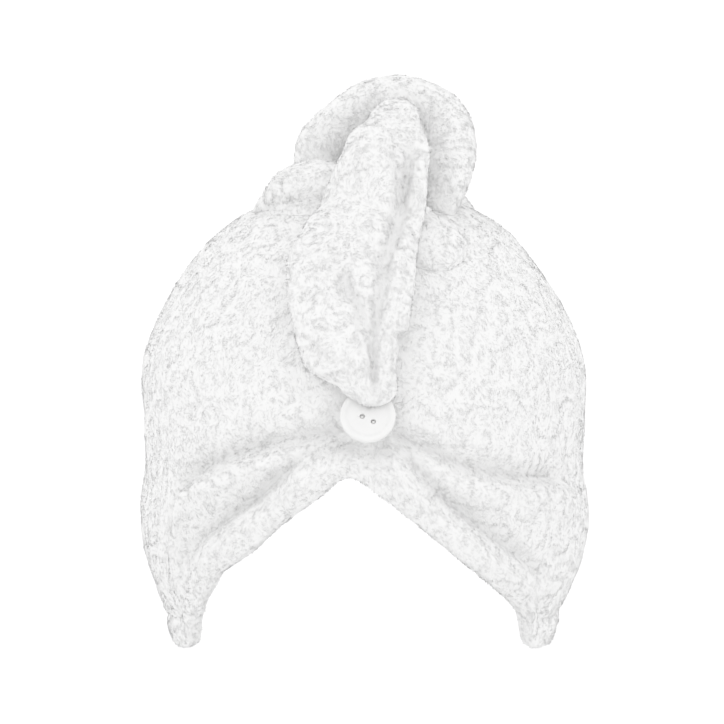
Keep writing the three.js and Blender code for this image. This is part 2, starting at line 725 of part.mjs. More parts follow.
const cloth = new THREE.MeshStandardMaterial({ color: 0xf1f1f0, roughness: 1.0, metalness: 0 });
const plastic = new THREE.MeshStandardMaterial({ color: 0xf6f6f4, roughness: 0.35, metalness: 0 });
const cotton = new THREE.MeshStandardMaterial({ color: 0xededeb, roughness: 0.8, metalness: 0 });
const elastic = new THREE.MeshStandardMaterial({ color: 0xe9e9e6, roughness: 0.85, metalness: 0 });

const turban = new THREE.Group();
function place(name, geometry, material) {
  const mesh = new THREE.Mesh(geometry, material);
  mesh.name = name;
  turban.add(mesh);
}

const cutter = hoodCutter();
const aroundButton = toSolid(inFrame(buttonBlank(gap)));
const twist = [frontWinding, windingSkirt, tailLoop].map((rows) => toSolid(ropeBody(rows)));
const aroundFront = toSolid(ropeBody(frontWinding, gap));
const endPart = toSolid(sweptBody(endStops(), endSides)).subtract(aroundFront).subtract(aroundButton);
const root = [...twist, toSolid(lobeBody())].reduce((whole, body) => whole.add(body), toSolid(gatherBody()));
const tail = mainBody(root.add(endPart).subtract(cutter));
const loop = mainBody(
  toSolid(inFrame(toGeometry(cordBody(cordStops(), cordDiameter, cordSides)))).subtract(tail).subtract(cutter),
);
const thread = mainBody(toSolid(threadGeometry()).subtract(cutter));

place("hood", hoodGeometry(), cloth);
place("tail", toGeometry(tail), cloth);
place("elastic_loop", toGeometry(loop), elastic);
place("button", buttonGeometry(), plastic);
place("button_thread", toGeometry(thread), cotton);

export default turban;
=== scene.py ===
# Hair turban towel: the looks of the plush hood, its twisted tail, the button and the elastic loop.
# Shapes are worked out in millimetres from the part's own tables and put into meshes in metres.
import math
import bpy
import numpy as np
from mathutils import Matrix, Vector


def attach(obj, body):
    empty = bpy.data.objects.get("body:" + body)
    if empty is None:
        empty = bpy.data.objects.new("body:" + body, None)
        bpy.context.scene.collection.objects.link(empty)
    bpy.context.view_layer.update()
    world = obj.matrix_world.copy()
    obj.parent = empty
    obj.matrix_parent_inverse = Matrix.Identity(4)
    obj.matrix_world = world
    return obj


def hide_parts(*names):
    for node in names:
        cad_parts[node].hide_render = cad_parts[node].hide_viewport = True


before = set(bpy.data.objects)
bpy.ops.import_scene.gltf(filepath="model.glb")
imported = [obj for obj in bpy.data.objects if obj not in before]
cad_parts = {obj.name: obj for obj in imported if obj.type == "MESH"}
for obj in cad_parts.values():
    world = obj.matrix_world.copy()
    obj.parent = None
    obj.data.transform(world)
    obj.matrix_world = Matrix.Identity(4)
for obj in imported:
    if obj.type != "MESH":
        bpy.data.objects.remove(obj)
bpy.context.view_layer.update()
scene = bpy.context.scene
mm = 0.001

# Camera, as the photograph was taken
photoView = {
    "target": (-0.8, 0, -79),
    "elevation": 3.0,
    "distance": 1900,
    "seen": 347.5,  # what the picture takes in at the target, side to side
}

lift = math.radians(photoView["elevation"])
away = Vector((0, -math.cos(lift), math.sin(lift))) * photoView["distance"] * mm
cameraData = bpy.data.cameras.new("photoCamera")
cameraData.angle = 2 * math.atan(photoView["seen"] / 2 / photoView["distance"])
camera = bpy.data.objects.new("photoCamera", cameraData)
camera.location = Vector(photoView["target"]) * mm + away
camera.rotation_euler = (-away).to_track_quat("-Z", "Y").to_euler()
scene.collection.objects.link(camera)
scene.camera = camera
print("camera placed")


# Meshes and materials

def putMesh(name, points, faces, material=None, smooth=True):
    # points in millimetres, and arrays of faces with equally many corners
    mesh = bpy.data.meshes.new(name)
    corners = np.concatenate([f.ravel() for f in faces]).astype(np.int32)
    sizes = np.concatenate([np.full(len(f), f.shape[1]) for f in faces])
    mesh.vertices.add(len(points))
    mesh.vertices.foreach_set("co", (np.asarray(points) * mm).astype(np.float32).ravel())
    mesh.loops.add(len(corners))
    mesh.loops.foreach_set("vertex_index", corners)
    mesh.polygons.add(len(sizes))
    mesh.polygons.foreach_set("loop_start", (np.cumsum(sizes) - sizes).astype(np.int32))
    mesh.polygons.foreach_set("use_smooth", np.full(len(sizes), smooth))
    mesh.update(calc_edges=True)
    piece = bpy.data.objects.new(name, mesh)
    scene.collection.objects.link(piece)
    if material:
        mesh.materials.append(material)
    return piece


def meshPoints(mesh):
    # places and normals of a mesh's points, places in millimetres
    places, normals = np.empty((2, len(mesh.vertices) * 3), np.float32)
    mesh.vertices.foreach_get("co", places)
    mesh.vertex_normals.foreach_get("vector", normals)
    return places.reshape(-1, 3).astype(float) / mm, normals.reshape(-1, 3).astype(float)


def applyModifiers(piece):
    # the piece's mesh with its modifiers worked in, and none left on it
    shaped = piece.evaluated_get(bpy.context.evaluated_depsgraph_get())
    mesh = bpy.data.meshes.new_from_object(shaped)
    piece.modifiers.clear()
    piece.data = mesh
    return mesh


def newMaterial(name, roughness):
    # a material with its nodes, its links and its shader
    material = bpy.data.materials.new(name)
    material.use_nodes = True
    shader = material.node_tree.nodes["Principled BSDF"]
    shader.inputs["Roughness"].default_value = roughness
    return material, material.node_tree.nodes, material.node_tree.links, shader


def addNode(nodes, kind, values):
    # a node of a kind, with its inputs set by name
    node = nodes.new("ShaderNode" + kind)
    for name, value in values.items():
        node.inputs[name].default_value = value
    return node


def objectCoords(nodes):
    # places in the piece's own metres
    return nodes.new("ShaderNodeTexCoord").outputs["Object"]


def noiseNode(nodes, links, coords, scale, detail, roughness=0.5, swirl=0.0):
    # cloudy values about 0.5, of the given number to a metre
    values = {"Scale": scale, "Detail": detail, "Roughness": roughness, "Distortion": swirl}
    noise = addNode(nodes, "TexNoise", values)
    links.new(coords, noise.inputs["Vector"])
    return noise.outputs["Fac"]


def rampNode(nodes, links, value, stops):
    # colours blended in straight lines between stops of place and colour
    ramp = nodes.new("ShaderNodeValToRGB")
    elements = ramp.color_ramp.elements
    while len(elements) < len(stops):
        elements.new(0.5)
    for element, (place, colour) in zip(elements, stops):
        element.position = place
        element.color = (*colour, 1)
    links.new(value, ramp.inputs["Fac"])
    return ramp.outputs["Color"]


def bumpNode(nodes, links, height, distance, strength, before=None):
    # a normal tilted by the slope of a height, on top of the normal before it
    bump = addNode(nodes, "Bump", {"Distance": distance, "Strength": strength})
    links.new(height, bump.inputs["Height"])
    if before:
        links.new(before, bump.inputs["Normal"])
    return bump.outputs["Normal"]


def cloudedTone(nodes, links, shader, look, detail=2):
    # soft clouds of a look's dark and light tones
    clouds = noiseNode(nodes, links, objectCoords(nodes), look["clouds"], detail)
    tones = rampNode(nodes, links, clouds, [(0.3, look["dark"]), (0.7, look["light"])])
    links.new(tones, shader.inputs["Base Color"])


plushLook = {
    "roughness": 0.95,
    "specular": 0.15,
    # the tones from gap to tip are painted shade: darkest down between the tufts, a shade lighter at the tips
    "gap": (0.7, 0.7, 0.7),  # painted shade, down between the tufts
    "curl": (0.777, 0.777, 0.774),
    "tip": (0.782, 0.782, 0.779),
    "tones": (0.34, 0.42, 0.7),  # where on the strokes each of these is reached
    "strokes": 700,  # gaps of about 1 mm by 3, sunk in relief and darkened by painted shade
    "detail": 2,
    "grit": 0.55,  # how strong the finer layers of the strokes are
    "ragged": 0.5,  # how far their edges wander
    "squeeze": 0.36,  # how fine they are along Z as a share of across it
    "swirl": 0.03,  # how far, in metres, the way they lie is bent
    "swirls": 42,
    "hollows": (0.3, 0.55),  # where on the strokes the relief begins and is full
    "relief": (0.0003, 0.4),  # its height in metres, and its strength
    "fibres": 1100,
    "fibreRelief": (0.0002, 0.25),
}


def combedCoords(nodes, links):
    # object coordinates bent by slow swirls, then drawn out along Z
    coords = objectCoords(nodes)
    swirl = addNode(nodes, "TexNoise", {"Scale": plushLook["swirls"], "Detail": 1})
    links.new(coords, swirl.inputs["Vector"])
    bent = nodes.new("ShaderNodeVectorMath")
    bent.operation = "MULTIPLY_ADD"
    links.new(swirl.outputs["Color"], bent.inputs[0])
    bent.inputs[1].default_value = (plushLook["swirl"],) * 3
    links.new(coords, bent.inputs[2])
    drawn = nodes.new("ShaderNodeVectorMath")
    drawn.operation = "MULTIPLY"
    links.new(bent.outputs["Vector"], drawn.inputs[0])
    drawn.inputs[1].default_value = (1, 1, plushLook["squeeze"])
    return drawn.outputs["Vector"]


def plushMaterial(name):
    # combed strokes of pile with short gaps of painted shade between them, and fine fibres in relief
    look = plushLook
    material, nodes, links, shader = newMaterial(name, look["roughness"])
    combed = combedCoords(nodes, links)
    strokes = noiseNode(nodes, links, combed, look["strokes"], look["detail"], look["grit"], look["ragged"])
    # painted shade: the gap tone in the strokes' low places, lighter on the curls and tips
    tones = zip(look["tones"], (look["gap"], look["curl"], look["tip"]))
    links.new(rampNode(nodes, links, strokes, list(tones)), shader.inputs["Base Color"])
    begin, full = look["hollows"]
    relief = rampNode(nodes, links, strokes, [(begin, (0, 0, 0)), (full, (1, 1, 1))])
    coarse = bumpNode(nodes, links, relief, *look["relief"])
    fibres = noiseNode(nodes, links, objectCoords(nodes), look["fibres"], look["detail"])
    links.new(bumpNode(nodes, links, fibres, *look["fibreRelief"], coarse), shader.inputs["Normal"])
    shader.inputs["Specular IOR Level"].default_value = look["specular"]
    return material


plush = plushMaterial("plushCloth")
yarn = plushMaterial("pileYarn")


# Shapes shared by the pieces

def bell(x):
    # 1 at 0, falling off alike on both sides: e to the power of minus x squared
    return np.exp(-x * x)


def smoothStep(x, low, high):
    # 0 up to low, 1 from high on, and between them three squares of the share less two cubes
    t = np.clip((x - low) / (high - low), 0, 1)
    return t * t * (3 - 2 * t)


def readTable(rows, at):
    # second column where the first is at a place: a cubic on each span, sloped as between the rows beside it
    x, y = np.asarray(rows, float).T
    before = np.maximum(np.arange(len(x)) - 1, 0)
    after = np.minimum(np.arange(len(x)) + 1, len(x) - 1)
    slope = (y[after] - y[before]) / (x[after] - x[before])
    i = np.clip(np.searchsorted(x, at, side="right") - 1, 0, len(x) - 2)
    span = x[i + 1] - x[i]
    t = np.clip((at - x[i]) / span, 0, 1)
    flat = y[i] * (1 + 2 * t) * (1 - t) ** 2 + y[i + 1] * t * t * (3 - 2 * t)
    return flat + span * (slope[i] * t * (1 - t) ** 2 - slope[i + 1] * t * t * (1 - t))


def smoothCourse(points, perSpan):
    # curve through the points: a cubic on each span from its ends and slopes, spaced by the root of distance
    points = np.asarray(points, float)
    p = np.vstack([2 * points[0] - points[1], points, 2 * points[-1] - points[-2]])[:, None]
    d = np.sqrt(np.linalg.norm(np.diff(p, axis=0), axis=2, keepdims=True))
    p0, p1, p2, p3 = p[:-3], p[1:-2], p[2:-1], p[3:]
    d0, d1, d2 = d[:-2], d[1:-1], d[2:]
    first = ((p1 - p0) / d0 - (p2 - p0) / (d0 + d1) + (p2 - p1) / d1) * d1
    last = ((p2 - p1) / d1 - (p3 - p1) / (d1 + d2) + (p3 - p2) / d2) * d1
    u = (np.arange(perSpan) / perSpan)[:, None]
    course = p1 * (2 * u**3 - 3 * u**2 + 1) + first * (u**3 - 2 * u**2 + u)
    course = course + p2 * (3 * u**2 - 2 * u**3) + last * (u**3 - u**2)
    return np.vstack([course.reshape(-1, points.shape[1]), points[-1]])


def runAlong(course):
    # distance along a course from its first point: the lengths of its steps, added up
    return np.concatenate([[0], np.cumsum(np.linalg.norm(np.diff(course, axis=0), axis=1))])


def turns(count):
    # angles evenly round a circle: a full turn times each point's number over their count
    return 2 * np.pi * np.arange(count) / count


def unit(v):
    # each vector over its own length
    return v / np.maximum(np.linalg.norm(v, axis=-1, keepdims=True), 1e-9)


# how far each axis and the seed turn the sine, and what spreads its digits
lattice = {"axes": (127.1, 311.7, 74.7), "seed": 17.31, "spread": 43758.5453}


def scatter(cells, seed):
    # a number from 0 to 1 for each cell, always the same: the digits past the point of a big sine
    turn = cells @ np.array(lattice["axes"]) + seed * lattice["seed"]
    return (np.sin(turn) * lattice["spread"]) % 1


def softNoise(points, size, seed):
    # height from -1 to 1: a random number at each corner of a lattice of cubes, blended across each cube
    p = np.asarray(points, float) / size
    cell = np.floor(p)
    f = smoothStep(p - cell, 0, 1)
    total = 0
    for corner in np.ndindex(2, 2, 2):
        weight = np.prod(np.where(np.array(corner) == 1, f, 1 - f), axis=-1)
        total = total + weight * scatter(cell + corner, seed)
    return 2 * total - 1


# height, size and seed of the waves and lumps of the cloth
clothWaves = [(0.9, 34, 3), (0.5, 17, 5), (0.4, 8, 9), (0.3, 4.2, 11)]


def plushWaves(points):
    # soft noise of every size in the table, added up
    return sum(height * softNoise(points, size, seed) for height, size, seed in clothWaves)


def skinFaces(rows, columns, firstPole, lastPole):
    # quads between rows of a grid closed round its columns, and a fan to a pole at either end
    r = np.arange(rows - 1)[:, None] * columns
    k = np.arange(columns)[None, :]
    after = (k + 1) % columns
    quads = np.stack([r + k, r + columns + k, r + columns + after, r + after], -1).reshape(-1, 4)
    k, after = k.ravel(), after.ravel()
    last = (rows - 1) * columns
    top = np.stack([np.full(columns, firstPole), k, after], -1)
    foot = np.stack([np.full(columns, lastPole), last + after, last + k], -1)
    return [quads, np.vstack([top, foot])]


def closedSkin(rings, firstPole, lastPole):
    # points and faces of a closed body through rings, shaped (rows, columns, 3)
    rows, columns = rings.shape[:2]
    points = np.vstack([rings.reshape(-1, 3), firstPole, lastPole])
    return points, skinFaces(rows, columns, rows * columns, rows * columns + 1)


# Hood

hoodLook = {
    "width": 215.5,
    "depth": 236,
    "height": 217,
    "cloth": 4,
    "hem": 8,
    "hemWidth": 15,
    "hemSwell": 0.62,  # puts its thickest place a third of the way up
    "hemGroove": 1.1,  # where the hem's stitching sinks into the pile
    "grooveReach": 2.2,
    "fold": 6.0,
    "reach": 9,  # from a crease to the top of its fold
    "valley": 6.0,
    "valleyReach": 0.6,  # as a share of the reach
    "liningReach": 2,  # and inside the hood
    "crease": 3.0,  # the sharp bottom of each valley
    "creaseReach": 2.0,
    "fadeIn": 0.14,  # share of a crease in which it starts, beside the button
    "fadeOut": 0.3,  # and in which it dies out
    "stillCrown": (4, 30),  # distance from the crown's middle where the waves begin and are full
    "pile": 0.6,  # what the pile adds to the cloth on each side
    "pileStart": 3,  # how far from the edge it is full
    "profileSteps": 80,
    "columns": 452,
    "columnWarp": 0.22,  # how much closer the columns stand on the button side
    "wallRows": 148,
    "liningRows": 34,
    "liningWarp": 1.2,  # how much closer they stand towards the edge
    "crownRing": 1.5,  # the last row's distance from the crown's middle
}
# level, half width and half depth as shares of the hood's
hoodSections = [
    (0.0, 0.0, 0.0), (0.006, 0.22, 0.22), (0.033, 0.45, 0.45), (0.09, 0.63, 0.64), (0.17, 0.78, 0.79),
    (0.26, 0.893, 0.9), (0.35, 0.968, 0.965), (0.42, 0.987, 0.99), (0.52, 0.982, 1.0), (0.61, 0.973, 0.99),
    (0.71, 1.0, 0.975), (0.79, 0.985, 0.95), (0.86, 0.94, 0.91), (0.93, 0.88, 0.87), (1.0, 0.83, 0.83),
]
# azimuth from the button side, and level of the lower edge
hoodEdge = [
    (-180, 0.53), (-165, 0.55), (-150, 0.63), (-136, 0.8), (-124, 0.93), (-108, 0.99), (-90, 1.0),
    (-72, 0.998), (-63, 0.981), (-58.5, 0.943), (-52, 0.897), (-45, 0.852), (-40, 0.812), (-29, 0.757),
    (-20, 0.69), (-11, 0.634), (-4, 0.592), (5, 0.637), (16, 0.713), (27, 0.787), (38, 0.848),
    (50, 0.908), (55, 0.95), (59, 0.982), (64, 0.992), (73, 0.995), (90, 0.99), (108, 0.985),
    (124, 0.93), (136, 0.8), (150, 0.63), (165, 0.55), (180, 0.53),
]
# azimuth and level along the creases that fan out from the button, and how high the fold below each stands
hoodCreases = [
    (1.0, [(-68, 0.86), (-60, 0.752), (-55, 0.672), (-51, 0.61), (-41, 0.566), (-30, 0.537), (-19, 0.514),
           (-7, 0.495)]),
    (0.9, [(-58, 0.83), (-48, 0.754), (-40, 0.706), (-33, 0.666), (-26, 0.624), (-20, 0.582), (-14, 0.546),
           (-7, 0.52)]),
    (0.9, [(7, 0.496), (15, 0.528), (22, 0.558), (30, 0.58), (40, 0.598), (54, 0.609), (74, 0.625)]),
    (0.9, [(7, 0.525), (13, 0.572), (19, 0.624), (27, 0.68), (36, 0.737), (46, 0.786), (60, 0.86)]),
]
buttonSeat = {"azimuth": 1, "level": 0.46, "dent": 2.5, "reach": 16}

# half width, half depth and height down the middle of the cloth, and the distance along it
halfCloth = hoodLook["cloth"] / 2
tall = hoodLook["height"] - halfCloth
halfWide = (hoodLook["width"] - hoodLook["cloth"]) / 2
halfDeep = (hoodLook["depth"] - hoodLook["cloth"]) / 2
sectionPoints = [(w * halfWide, d * halfDeep, halfCloth - level * tall) for level, w, d in hoodSections]
hoodProfile = smoothCourse(sectionPoints, hoodLook["profileSteps"])
profileRun = runAlong(hoodProfile)
profileSlope = np.gradient(hoodProfile, profileRun, axis=0)
profileLevel = (halfCloth - hoodProfile[:, 2]) / tall


def profileAt(table, run):
    # a table's three columns at the given distances from the crown
    return [np.interp(run, profileRun, table[:, i]) for i in range(3)]


def plainHood(azimuth, run):
    # place and outward normal on the smooth hood: an ellipse at each height, the normal square to both slopes
    turn = np.radians(azimuth)
    wide, deep, z = profileAt(hoodProfile, run)
    wideSlope, deepSlope, zSlope = profileAt(profileSlope, run)
    place = np.stack([wide * np.sin(turn), -deep * np.cos(turn), z], -1)
    down = np.stack([wideSlope * np.sin(turn), -deepSlope * np.cos(turn), zSlope], -1)
    wide, deep = np.maximum(wide, 0.5), np.maximum(deep, 0.5)
    around = np.stack([wide * np.cos(turn), deep * np.sin(turn), 0 * turn], -1)
    return place, unit(np.cross(down, around))


def runAt(level):
    # distance from the crown at which a level is reached
    return np.interp(level, profileLevel, profileRun)


def creaseLine(course, azimuth):
    # how far below the crown a crease runs, held level past its ends
    return readTable(course, np.clip(azimuth, course[0][0], course[-1][0])) * hoodLook["height"]


def foldRelief(azimuth, level, inner, detail):
    # for each crease: a bell-shaped fold below its line, less a wide and a narrow bell along the line
    look = hoodLook
    meanRadius = (look["width"] + look["depth"]) / 4
    reach = look["reach"]
    relief = 0
    for rise, course in hoodCreases:
        first, last = course[0][0], course[-1][0]
        at = np.clip(azimuth, first, last)
        slope = (creaseLine(course, at + 1) - creaseLine(course, at - 1)) / (math.radians(2) * meanRadius)
        below = (level * look["height"] - creaseLine(course, at)) / np.hypot(1, slope)
        along = azimuth / (first if abs(first) > abs(last) else last)
        fade = rise * smoothStep(along, 0, look["fadeIn"]) * smoothStep(1 - np.abs(along), 0, look["fadeOut"])
        if inner:
            relief = relief - fade * look["valley"] * bell(below / (look["liningReach"] * reach))
        else:
            shape = look["fold"] * bell((below - reach) / reach)
            shape = shape - look["valley"] * bell(below / (look["valleyReach"] * reach))
            shape = shape - detail * look["crease"] * bell(below / look["creaseReach"])
            relief = relief + fade * shape
    across = np.radians(azimuth - buttonSeat["azimuth"]) * meanRadius
    down = (level - buttonSeat["level"]) * look["height"]
    return relief - buttonSeat["dent"] * bell(np.hypot(across, down) / buttonSeat["reach"])


def hoodPoint(azimuth, run, off, inner=False, detail=1.0):
    # a place off the middle of the cloth by a distance along the normal, with the folds and the cloth's waves
    place, normal = plainHood(azimuth, run)
    relief = foldRelief(azimuth, np.interp(run, profileRun, profileLevel), inner, detail)
    waves = detail * plushWaves(place) * smoothStep(run, *hoodLook["stillCrown"])
    return place + normal * (off + relief + waves)[..., None]


def halfWall(fromEdge):
    # half the wall: the cloth, swelling into the rolled hem and ending round
    share = np.clip(fromEdge / hoodLook["hemWidth"], 0, 1)
    roll = np.sqrt(np.clip(np.sin(np.pi * np.minimum(1, share ** hoodLook["hemSwell"])), 0, None))
    end = np.sqrt(np.minimum(1, 2 * fromEdge / hoodLook["cloth"]))
    return halfCloth * end + (hoodLook["hem"] - hoodLook["cloth"]) / 2 * roll


def backing(fromEdge):
    # half the wall without its pile, and the groove above the hem
    bare = halfWall(fromEdge) - hoodLook["pile"] * smoothStep(fromEdge, 0, hoodLook["pileStart"])
    groove = hoodLook["hemGroove"] * bell((fromEdge - hoodLook["hemWidth"]) / hoodLook["grooveReach"])
    return np.maximum(bare, 0) - groove


evenAzimuth = -180 + 360 * np.arange(hoodLook["columns"]) / hoodLook["columns"]
columnAzimuth = evenAzimuth - np.degrees(hoodLook["columnWarp"] * np.sin(np.radians(evenAzimuth)))
edgeRun = runAt(readTable(hoodEdge, columnAzimuth))


def hoodRings(side, fromEdge, off):
    # rows of the hood at the given shares of the way from edge to crown
    up = fromEdge * (edgeRun - hoodLook["crownRing"])
    run = edgeRun - up
    azimuth = np.broadcast_to(columnAzimuth, run.shape)
    return hoodPoint(azimuth, run, side * off(up), inner=side < 0)


# rows close to the edge, where the hem ends round, and the first of the even rows above them
hemShares = np.array([0.0004, 0.0016, 0.004, 0.008, 0.013, 0.019, 0.026])
firstShare = 0.034


def buildHood():
    # rows down the outside, round the edge and up the lining, closed at the crown
    wallShares = np.concatenate([hemShares, np.linspace(firstShare, 1, hoodLook["wallRows"])])
    liningRise = np.linspace(0, 1, hoodLook["liningRows"]) ** hoodLook["liningWarp"]
    liningShares = np.concatenate([hemShares, firstShare + (1 - firstShare) * liningRise])
    outside = hoodRings(1, wallShares[:, None], backing)[::-1]
    inside = hoodRings(-1, liningShares[:, None], backing)
    edge = hoodRings(0, np.zeros((1, 1)), backing)
    rings = np.concatenate([outside, edge, inside])
    top = (0, 0, hoodLook["cloth"] - hoodLook["pile"])
    points, faces = closedSkin(rings, top, (0, 0, hoodLook["pile"]))
    return putMesh("plushHood", points, faces, plush)


hood = buildHood()
print("hood shaped", len(hood.data.polygons))


# Tail

tailLook = {
    "rope": 25,
    "ropeSides": 48,
    "ropeSteps": 12,  # rings for each row of its table
    "thinnest": 0.8,
    "loopHeight": 43,
    "loopWidth": 62,
    "loopDepth": 46,
    "loopMiddle": 9.5,
    "gatherMiddle": 2,
    "gatherWidth": 104,
    "gatherDepth": 110,
    "gatherFold": 3.4,
    "gatherFolds": 7,
    "gatherTurn": 70,
    "gatherFade": 0.6,
    "gatherGroove": 1.4,  # the sharp bottom between two folds
    "grooveReach": 0.35,
    "gatherSides": 210,
    "gatherSteps": 8,
    "gatherTop": 1.5,
    "bedding": 1.5,
    "pile": 1.2,
    "voxel": 1.15,
    "easing": (0.5, 6),  # how far, and how often, the joined forms are smoothed
    "waves": 0.8,
    "waveShift": 50,
    "gap": 0.03,
    "buttonRoom": 0.6,
    "blankRows": 90,
    "blankStart": 0.3,  # share of the way from edge to crown where the hood's blank begins
    "blankFoot": (0, 0, -90),
}
# The tail's end. A stop is a row of its tables, counted from 0, and edges are shares of the half width
endLook = {
    "width": 60,
    "thickness": 19,
    "sides": 132,
    "steps": 14,
    "crease": 7.5,
    "creaseReach": 0.12,
    "creaseStart": 0.6,  # stops in which it deepens
    "fold": 0.8,  # depth of the second crease as a share of the first
    "foldStart": (8.6, 10.5),  # stops where it begins and is full
    "tipLift": 0.48,  # from the cloth to the middle of its tip, as a share of the thickness
    "lobeStep": 5.5,  # how far the front lobe's upper end stands over the layer behind it
    "lobeFade": (9.0, 6.2),  # stops where that height is gone and where it is full
    "lobeTop": 5.6,  # the stop where the lobe begins
    "lobeStart": (-0.05, 0.15),
    "lobeMiddle": -0.35,
    "lobeRight": 1.3,  # stops in which its edge swings out to the crease on the right
    "lobeLeft": 0.5,  # and to the left
    "leftEnd": -1.3,
    "lobeEdge": (0.1, -0.12),  # where its edge is down and where it is full height
}
# across, back, up and size of the winding that crosses the front, from its root on the left shoulder
frontWinding = [
    (-0.98, -0.39, -0.256, 0.2), (-0.86, -0.59, -0.151, 0.56), (-0.715, -0.78, -0.012, 0.9),
    (-0.545, -0.935, 0.047, 1.02), (-0.315, -1.087, 0.012, 0.96), (-0.056, -1.174, -0.093, 0.88),
    (0.169, -1.24, -0.256, 0.8), (0.331, -1.304, -0.42, 0.7), (0.46, -1.25, -0.5, 0.5),
]
# the fold of the hood that is drawn up under it
windingSkirt = [
    (-0.9, -0.57, -0.3, 0.24), (-0.73, -0.91, -0.29, 0.52), (-0.52, -1.09, -0.29, 0.68),
    (-0.28, -1.24, -0.3, 0.68), (-0.056, -1.3, -0.34, 0.64),
]
# and of the loop, from its right leg over the top to the left leg and down into the gathers
tailLoop = [
    (0.4, -0.783, -0.372, 0.64), (0.44, -0.783, -0.163, 0.74), (0.475, -0.717, 0.0, 0.82),
    (0.5, -0.543, 0.233, 1.0), (0.515, -0.304, 0.465, 1.08), (0.495, -0.087, 0.674, 1.06),
    (0.42, 0.04, 0.85, 1.0), (0.29, 0.1, 0.97, 0.94), (0.11, 0.13, 1.03, 0.93), (-0.11, 0.13, 0.96, 0.92),
    (-0.31, 0.12, 0.77, 0.92), (-0.46, 0.1, 0.56, 0.92), (-0.53, 0.1, 0.35, 0.92), (-0.5, 0.18, 0.12, 0.9),
    (-0.4, 0.3, -0.05, 0.7),
]
# the leaf-shaped lobe at the foot of the loop's right leg: where it lies, its half sizes and its turn
sideLobe = {
    "azimuth": 27, "level": 0.102, "sunk": 3.5, "half": (23, 18.5, 10), "turn": 40,
    "rings": 40, "sides": 60, "pole": 0.1,
}
# up, back, width and depth
gatherRows = [
    (-0.45, 0.1, 1.0, 1.0), (-0.2, 0.1, 0.95, 0.96), (-0.05, 0.1, 0.86, 0.88), (0.08, 0.1, 0.74, 0.76),
    (0.18, 0.1, 0.6, 0.62), (0.26, 0.1, 0.44, 0.46), (0.32, 0.1, 0.26, 0.28),
]
# across, back, up, width, thickness and lean in degrees
endHump = [
    (0.06, 0.36, 0.1, 0.3, 0.9, -25), (0.085, 0.14, 0.36, 0.3, 0.95, -8), (0.1, -0.14, 0.62, 0.24, 1.0, 5),
    (0.11, -0.42, 0.84, 0.22, 1.0, 25), (0.1, -0.75, 0.92, 0.28, 1.0, 48), (0.08, -1.08, 0.76, 0.44, 1.0, 66),
    (0.03, -1.42, 0.44, 0.7, 1.0, 68),
]
# level, shift, width, thickness, crease and fold
endRows = [
    (0.08, 0.055, 0.86, 1.0, 0.52, -0.95), (0.13, -0.03, 0.95, 1.0, 0.55, -0.62),
    (0.172, -0.08, 1.02, 1.0, 0.52, -0.36), (0.215, -0.085, 1.0, 0.98, 0.52, -0.1),
    (0.285, -0.09, 0.92, 0.94, 0.46, 0.22), (0.327, -0.075, 0.83, 0.88, 0.4, 0.38),
    (0.356, -0.022, 0.66, 0.84, 0.33, 0.33), (0.388, 0.03, 0.48, 0.8, 0.2, 0.2),
    (0.414, 0.065, 0.4, 0.76, 0.1, 0.1),
]
endTip = (0.438, 0.075, 0.26, 0.4, 0.0, 0.0)


def loopPoint(across, back, up):
    # a place from shares of the loop's width, depth and height
    x = tailLook["loopMiddle"] + across * tailLook["loopWidth"]
    return np.array([x, back * tailLook["loopDepth"], hoodLook["cloth"] + up * tailLook["loopHeight"]])


def bareHood(azimuth, level):
    # a place on the outside of the folded cloth, without its small waves
    return hoodPoint(np.array([float(azimuth)]), np.array([runAt(level)]), halfCloth, detail=0.0)[0]


def carryFrame(along, start):
    # directions square to a line, turned as little as they can be from each ring to the next
    sideways = np.empty_like(along)
    held = start
    for i, direction in enumerate(along):
        held = unit(held - direction * (held @ direction))
        sideways[i] = held
    return sideways


def roundRings(along, start, sides):
    # circles of radius 1 square to a line: cosine times sideways and sine times outward
    sideways = carryFrame(along, start)
    out = np.cross(along, sideways)
    turn = -turns(sides)
    return np.cos(turn)[None, :, None] * sideways[:, None] + np.sin(turn)[None, :, None] * out[:, None]


def shapeRope(rows):
    # a round section carried along the twist
    radius = tailLook["rope"] / 2
    stops = np.array([(*loopPoint(across, back, up), size * radius) for across, back, up, size in rows])
    course = smoothCourse(stops, tailLook["ropeSteps"])
    centres, radius = course[:, :3], np.maximum(course[:, 3] - tailLook["pile"], tailLook["thinnest"])
    along = unit(np.gradient(centres, axis=0))
    ring = roundRings(along, np.cross((0, 0, 1.0), along[0]), tailLook["ropeSides"])
    rings = centres[:, None] + radius[:, None, None] * ring
    return closedSkin(rings, centres[0], centres[-1])


def shapeLobe():
    # an ellipsoid lying on the hood, its length turned from straight up the slope
    azimuth = np.array(float(sideLobe["azimuth"]))
    run = runAt(sideLobe["level"])
    middle, normal = plainHood(azimuth, run)
    upSlope = unit(plainHood(azimuth, run - 1)[0] - middle)
    right = np.cross(upSlope, normal)
    turn = math.radians(sideLobe["turn"])
    length = math.cos(turn) * upSlope + math.sin(turn) * right
    across = np.cross(normal, length)
    half = np.array(sideLobe["half"]) - tailLook["pile"]
    tilt = np.pi * (np.arange(1, sideLobe["rings"]) / sideLobe["rings"])[:, None]
    around = turns(sideLobe["sides"])[None, :]
    up = half[0] * np.cos(tilt) + 0 * around
    wide, thick = half[1] * np.sin(tilt) * np.cos(around), half[2] * np.sin(tilt) * np.sin(around)
    rings = middle + normal * (halfCloth - sideLobe["sunk"])
    rings = rings + up[..., None] * length + wide[..., None] * across + thick[..., None] * normal
    pole = length * sideLobe["pole"]
    return closedSkin(rings, rings[0].mean(0) + pole, rings[-1].mean(0) - pole)


